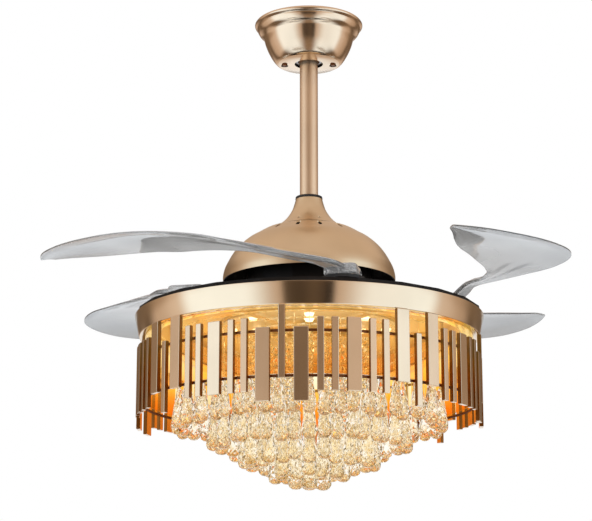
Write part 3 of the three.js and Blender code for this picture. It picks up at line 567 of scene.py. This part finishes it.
# Every edge of a bar stays sharp at this angle, so each of its sides has one even tone.
cage = piece("bars", *gathered(bars), "hanger", "bars", bar_metal, smooth=15, nodes=("bar_cage",))
# Painted glow and shade: the bars' inner faces are darker brown metal glowing amber, their sides glow
# only faintly, in place of the lamps' light on them.
cage.data.materials.append(painted_glow_and_shade_metal("painted_glow_inside", 0.95))
cage.data.materials.append(painted_glow_and_shade_metal("painted_dim_glow_side", 0.05))
for face in cage.data.polygons:
    inward = -face.normal.xy.dot(face.center.xy) / face.center.xy.length
    if inward > 0.5:
        face.material_index = 1
    elif inward > -0.5 and abs(face.normal.z) < 0.5:
        face.material_index = 2
HOOP_WIRE = 2
piece("lower_hoop", *tube_ring(237.9, HOOP_WIRE, -124.4), "hanger", "hoops", hoop_metal,
      nodes=("bar_cage",))
piece("upper_hoop_wire", *tube_ring(237.6, HOOP_WIRE, -64), "hanger", "hoops", hoop_metal,
      nodes=("upper_hoop",))

# A clear sleeve closes the gaps between the bars, with a clean lower edge; its amber is painted glow in
# place of the lamps' light.
LINER_R, LINER_WALL, LINER_TOP, LINER_FOOT = 234.8, 1.5, -31, -121
liner = softened([(LINER_R - LINER_WALL, LINER_TOP), (LINER_R, LINER_TOP), (LINER_R, LINER_FOOT),
                  (LINER_R - LINER_WALL, LINER_FOOT)], 0.4)
piece("liner", *turned(liner, 160), "hanger", "lens", painted_glow_glass())

# ---- Crystals ---------------------------------------------------------------------------


def gem(profile, sides):
    """A faceted body: each ring of corners is turned half a side from the one below."""
    verts = [(0, 0, profile[0][1])]
    for level, (r, z) in enumerate(profile[1:-1]):
        verts += [(*polar(r, 360 * (i + 0.5 * (level % 2)) / sides), z) for i in range(sides)]
    verts.append((0, 0, profile[-1][1]))
    faces = [(0, 1 + (i + 1) % sides, 1 + i) for i in range(sides)]
    levels = len(profile) - 2
    for level in range(levels - 1):
        a, b = 1 + level * sides, 1 + (level + 1) * sides
        for i in range(sides):
            j = (i + 1) % sides
            if level % 2 == 0:
                faces += [(a + i, a + j, b + i), (a + j, b + j, b + i)]
            else:
                faces += [(a + i, b + j, b + i), (a + i, a + j, b + j)]
    top, last = len(verts) - 1, 1 + (levels - 1) * sides
    faces += [(last + i, last + (i + 1) % sides, top) for i in range(sides)]
    return verts, faces


def drop(length, r):
    """A cut drop on its foot, widest near it."""
    return gem([(0, 0), (0.45 * r, 0.9), (0.8 * r, 3.4), (0.98 * r, 8), (r, 14),
                (0.92 * r, length * 0.34), (0.76 * r, length * 0.52), (0.58 * r, length * 0.72),
                (0.34 * r, length * 0.94), (0, length)], 7)


BEAD = gem([(0, -6), (3.6, -5), (6.4, 0), (3.6, 5), (0, 6)], 8)
BEAD_STEP, BEADS_END, WIRE_R, WIRE_TOP = 12.6, -36, 0.35, -28
# Each round: its radius, how many drops, the height of their feet, their length and half width.
TIERS = [(187, 56, -168, 58, 10), (137, 42, -196, 66, 10.4), (91, 28, -221, 72, 10.8),
         (49, 14, -238, 76, 11.4), (19, 4, -247, 78, 12.2)]
for i, (radius, count, foot, length, girth) in enumerate(TIERS):
    # Every second drop stands a little further in, but for the four at the middle.
    step_in = 9 if i < len(TIERS) - 1 else 0
    parts = []
    for k in range(count):
        x, y = polar(radius - step_in * (k % 2), 360 * (k + 0.5 * (i % 2)) / count)
        here = foot + random.uniform(0, 7)
        spin = Matrix.Rotation(random.uniform(0, 1), 4, "Z")
        cut = drop(length, girth + random.uniform(-0.8, 0.8))
        parts.append(moved(cut, Matrix.Translation((x, y, here - DROP)) @ spin))
        z = here + length + 5.4
        if i < 2:  # the outer rounds hang on bare wire, the others under beads
            parts.append(peg(x, y, WIRE_R, z - 7 - DROP, WIRE_TOP - DROP, 5))
            continue
        while z < BEADS_END:
            spin = Matrix.Rotation(random.uniform(0, 3), 4, "Z")
            parts.append(moved(BEAD, Matrix.Translation((x, y, z - DROP)) @ spin))
            z += BEAD_STEP
    parts.append(tube_ring(radius, 1.1, -RING_H, 96, 6))
    piece(f"crystals_{i + 1}", *gathered(parts), "hanger", "crystal", crystal, smooth=0,
          nodes=(f"crystal_tier_{i + 1}",))

# ---- Blades -----------------------------------------------------------------------------

PIVOT_R, BLADE_INNER, BLADE_OUTER, SWEEP, OPEN = 177, 101, 246, 158, 64
FIRST_PIN = -75  # azimuth of the first blade's pin
ROOT_BASE, ROOT_TOP = 21.3, 36.3
BLOCK_L, BLOCK_W, BLOCK_CORNER, PIN_HOLE_R = 46, 54, 8, 5.6
STATIONS, SPANS = 72, 24  # steps along a blade and across it
AROUND = 2 * (SPANS + 1)  # points round each station
WAIST, TIP, CHORD = ROOT_TOP + 5, ROOT_TOP + 12, BLADE_OUTER - BLADE_INNER
AT_ROOT = (PIVOT_R - BLADE_INNER) / CHORD
# Each line: its share of the sweep, the inner and outer edge as shares of the chord, their heights
# and the blade's thickness there.
LINES = [
    (0.0, AT_ROOT - 0.09, AT_ROOT + 0.09, ROOT_TOP - 6, ROOT_TOP - 6, 7),
    (0.09, AT_ROOT - 0.18, AT_ROOT + 0.02, ROOT_TOP - 2, ROOT_TOP - 3, 7),
    (0.16, 0.19, 0.37, WAIST - 3, WAIST - 4, 6.5),
    (0.23, 0.1, 0.24, WAIST, WAIST, 6),
    (0.34, 0.09, 0.28, WAIST + 0.5, WAIST + 0.5, 4.5),
    (0.45, 0.06, 0.43, WAIST + 1, WAIST + 0.5, 3.4),
    (0.54, 0.02, 0.66, WAIST + 2, WAIST, 3),
    (0.66, 0.0, 0.91, WAIST + 3, WAIST - 1.5, 3),
    (0.78, 0.03, 1.0, WAIST + 7, WAIST - 3.5, 3),
    (0.88, 0.14, 1.0, WAIST + 8.5, WAIST - 2, 3),
    (0.95, 0.4, 0.98, WAIST + 7, WAIST + 1, 3),
    (1.0, 0.8, 0.95, TIP - 2, TIP - 4, 2.4),
]


def blade_line(share):
    """A line of the blade at any share of its sweep, smoothly between the lines of the table."""
    after = next(i for i in range(1, len(LINES)) if LINES[i][0] >= share - 1e-9)
    p, q = LINES[after - 1], LINES[after]
    before, beyond = LINES[max(0, after - 2)], LINES[min(len(LINES) - 1, after + 1)]
    span = q[0] - p[0]
    t = (share - p[0]) / span
    row = []
    for k in range(6):
        m0 = (q[k] - before[k]) / (q[0] - before[0]) * span
        m1 = (beyond[k] - p[k]) / (beyond[0] - p[0]) * span
        row.append((2 * t ** 3 - 3 * t * t + 1) * p[k] + (t ** 3 - 2 * t * t + t) * m0
                   + (-2 * t ** 3 + 3 * t * t) * q[k] + (t ** 3 - t * t) * m1)
    return row


def rib_height(share, t):
    """Two raised lines along the blade's waist, fading out at both ends."""
    along = max(0.0, min(1.0, (share - 0.2) / 0.06)) * max(0.0, min(1.0, (0.56 - share) / 0.1))
    return 2.0 * along * sum(math.exp(-((t - at) / 0.07) ** 2) for at in (1 / 3, 2 / 3))


def blade_leaf():
    """The blade as it lies when folded, from its pin: a ring of points at each station."""
    rings = []
    for s in range(STATIONS + 1):
        share = s / STATIONS
        _, a, b, za, zb, thick = blade_line(share)
        width = (b - a) * CHORD
        rise = 7 * min(1, width / CHORD)
        top, bottom = [], []
        for i in range(SPANS + 1):
            t = i / SPANS
            r = BLADE_INNER + (a + (b - a) * t) * CHORD
            x, y = polar(r, -share * SWEEP)
            middle = za + (zb - za) * t + rise * 4 * t * (1 - t)
            half = thick * (0.3 + 0.2 * min(1, 8 * t, 8 * (1 - t)))
            top.append((x - PIVOT_R, y, middle + half + rib_height(share, t)))
            bottom.append((x - PIVOT_R, y, middle - half))
        rings.append(top + bottom[::-1])
    faces = skin(STATIONS + 1, AROUND)
    last = STATIONS * AROUND
    for i in range(SPANS):
        faces.append((i, AROUND - 1 - i, AROUND - 2 - i, i + 1))
        faces.append((last + i, last + i + 1, last + AROUND - 2 - i, last + AROUND - 1 - i))
    return [v for ring in rings for v in ring], faces


def blade_block():
    """The moulded root over the pin: a rounded block with a step near its top."""
    outline = rounded_outline(BLOCK_L, BLOCK_W, BLOCK_CORNER, 5)
    n = len(outline)
    levels = [(ROOT_BASE, 0.94), (ROOT_BASE + 1.6, 1), (ROOT_TOP - 6, 1), (ROOT_TOP - 5, 0.97),
              (ROOT_TOP - 1.2, 0.95), (ROOT_TOP, 0.9)]
    verts = [(x * k, y * k, z) for z, k in levels for x, y in outline]
    caps = [tuple(range(n))[::-1], tuple(range((len(levels) - 1) * n, len(levels) * n))]
    return verts, skin(len(levels), n) + caps


folded = blade_leaf()
for i in range(4):
    azimuth = Matrix.Rotation(math.radians(FIRST_PIN + 90 * i), 4, "Z")
    opened = Matrix.Rotation(math.radians(OPEN), 4, "Z")
    to_pivot = azimuth @ Matrix.Translation((PIVOT_R, 0, -DROP)) @ opened
    body = f"blade_arm_{i + 1}"
    leaf = piece(f"blade_leaf_{i + 1}", *moved(folded, to_pivot), body, "blades", blade_face,
                 smooth=40, nodes=(f"blade_{i + 1}",))
    leaf.data.materials.append(blade_rim)
    for face in leaf.data.polygons:
        if face.index < STATIONS * AROUND and face.index % AROUND in (SPANS, AROUND - 1):
            face.material_index = 1
    root = piece(f"blade_root_{i + 1}", *moved(blade_block(), to_pivot), body, "blades", blade_root,
                 nodes=(f"blade_{i + 1}",))
    carved(root, [moved(peg(0, 0, PIN_HOLE_R, 15, 60, 24), to_pivot)])

# ---- Lights, floor and backdrop ---------------------------------------------------------

MIDDLE = Vector((0, 0, -0.45))


def area(name, at, size, energy):
    """A round lamp aimed at the fan, seen in no mirror and through no glass."""
    data = bpy.data.lights.new(name, "AREA")
    data.energy, data.shape, data.size = energy, "DISK", size
    obj = linked(name, data)
    obj.location = at
    obj.rotation_euler = (MIDDLE - Vector(at)).to_track_quat("-Z", "Y").to_euler()
    obj.visible_camera = obj.visible_glossy = obj.visible_transmission = False


area("key", (-1.9, -2.4, 0.9), 1.6, 55)
area("fill", (2.4, -1.8, -0.2), 1.8, 30)
area("back", (0.4, 2.2, 0.8), 1.4, 28)
LEDS, LED_TURN, LED_R, LED_Z = 8, 22, 0.122, -0.52
for k in range(LEDS):
    data = bpy.data.lights.new(f"led_{k}", "POINT")
    data.energy, data.color, data.shadow_soft_size = 0.014, (1.0, 0.76, 0.48), 0.012
    obj = linked(f"led_{k}", data)
    obj.location = (*polar(LED_R, 360 / LEDS * k + LED_TURN), LED_Z)
    obj.visible_glossy = obj.visible_transmission = False

FLOOR_HALF, FLOOR_Z = 9000, -2400
corners = [(x * FLOOR_HALF, y * FLOOR_HALF, FLOOR_Z) for x, y in ((-1, -1), (1, -1), (1, 1), (-1, 1))]
floor = linked("floor", mesh_of("floor", corners, [(0, 1, 2, 3)]))
floor_paint = Nodes("floor_paint")
floor_paint.set(Roughness=0.9)
floor_paint.two_tone("Base Color", floor_paint.cloud(2.0), (0.82, 0.82, 0.81), (0.86, 0.86, 0.85))
floor.data.materials.append(floor_paint.material)
floor.visible_glossy = floor.visible_transmission = False

world = bpy.data.worlds.new("studio")
bpy.context.scene.world = world
world.use_nodes = True
world.node_tree.nodes.clear()
sky = Graph(world.node_tree)
direction = sky.add("TexCoord").outputs["Generated"]
x, y, height = sky.add("SeparateXYZ", links={0: direction}).outputs
turn = sky.mapped(sky.math("ARCTAN2", x, sky.math("MULTIPLY", y, -1)), -math.pi, math.pi)
DIM_TINT, BRIGHT_TINT = (1.4, 0.95, 0.62), (0.92, 1.04, 1.16)


def room(stops):
    """Levels round the room by azimuth, 0 towards the camera: cool where bright, warm where dim."""
    colored = []
    for degrees, level in stops:
        cool = max(0, min(1, (level - 0.2) / 0.9))
        color = [level * (warm + (cold - warm) * cool) for warm, cold in zip(DIM_TINT, BRIGHT_TINT)]
        colored.append(((degrees + 180) / 360, color))
    return sky.ramp(turn, colored, "EASE")


def blend(low, high, under, over):
    """One color below the height low and another above the height high."""
    step = sky.mapped(height, low, high, interpolation_type="SMOOTHSTEP")
    return sky.add("Mix", links={0: step, 6: under, 7: over}, data_type="RGBA").outputs[2]


# Four bands by the height of the direction: the floor, the walls as the tilted ring mirrors them,
# the walls as upright metal mirrors them, and the ceiling.
LOW = room([(-180, 0.5), (-140, 0.2), (-100, 0.1), (-66, 1.1), (-40, 1.2), (-8, 0.2), (8, 0.2),
            (36, 1.2), (60, 1.1), (96, 0.1), (140, 0.2), (180, 0.5)])
WALLS = room([(-180, 1.0), (-158, 0.5), (-134, 0.1), (-118, 0.46), (-96, 0.6), (-82, 1.2), (-44, 1.16),
              (-17.5, 0.45), (-16.5, 0.06), (-6, 0.05), (3, 0.08), (9.5, 0.06), (10.5, 0.012),
              (15.5, 0.012), (17.5, 0.5), (44, 1.05), (84, 1.2), (97, 0.6), (118, 0.4), (134, 0.1),
              (158, 0.5), (180, 1.0)])
HIGH = room([(-180, 0.6), (-158, 0.12), (-134, 0.14), (-112, 0.3), (-96, 0.5), (-84, 1.0), (-60, 1.15),
             (-46, 0.8), (-32, 0.42), (-20, 0.2), (-14, 0.14), (6, 0.15), (12, 0.3), (30, 0.5),
             (44, 0.75), (60, 1.15), (84, 1.0), (97, 0.55), (112, 0.35), (134, 0.14), (158, 0.12),
             (180, 0.6)])
CEILING = room([(-180, 0.5), (-90, 0.56), (0, 0.6), (90, 0.54), (180, 0.5)])
studio = blend(-0.62, -0.42, LOW, WALLS)
studio = blend(-0.05, 0.08, studio, HIGH)
studio = blend(0.36, 0.6, studio, CEILING)

# Light that has crossed several drops meets lamps and dark corners; straight through it is white.
spark = sky.add("TexNoise", {"Scale": 7.0, "Detail": 1.0}, {"Vector": direction}).outputs["Fac"]
sparks = sky.ramp(spark, [(0.32, (0.1, 0.05, 0.02)), (0.36, (0.55, 0.36, 0.14)),
                          (0.42, (1.0, 0.84, 0.46)), (0.52, (1.0, 0.96, 0.84)),
                          (0.6, (0.5, 0.48, 0.52)), (0.64, (1.0, 0.98, 0.94))])
rays = sky.add("LightPath").outputs
deep = sky.mapped(rays["Transmission Depth"], 4.5, 9)
through = sky.add("Mix", {6: (1, 1, 1, 1)}, {0: deep, 7: sparks}, data_type="RGBA").outputs[2]

# Mirrors show the room, matt faces get an even light, and the camera sees white.
even = sky.add("Background", {0: (0.86, 0.87, 0.88, 1), 1: 0.75}).outputs[0]
mirrored = sky.add("Background", links={0: studio}).outputs[0]
white = sky.add("Background", links={0: through}).outputs[0]
lit = sky.add("MixShader", links={0: rays["Is Glossy Ray"], 1: even, 2: mirrored}).outputs[0]
seen = sky.math("MAXIMUM", rays["Is Camera Ray"], rays["Is Transmission Ray"])
shown = sky.add("MixShader", links={0: seen, 1: lit, 2: white}).outputs[0]
sky.add("OutputWorld", links={0: shown})

# ---- Camera -----------------------------------------------------------------------------

LOOK_UP, LOOK_LEFT = math.radians(13.66), 0.0071
camera_data = bpy.data.cameras.new("camera")
camera_data.lens, camera_data.sensor_width = 115.54, 36
camera = linked("camera", camera_data)
camera.location = (0, -2.6754, -1.0132)
camera.rotation_euler = (math.pi / 2 + LOOK_UP, 0, LOOK_LEFT)
bpy.context.scene.camera = camera
bpy.context.scene.view_settings.view_transform = "Standard"
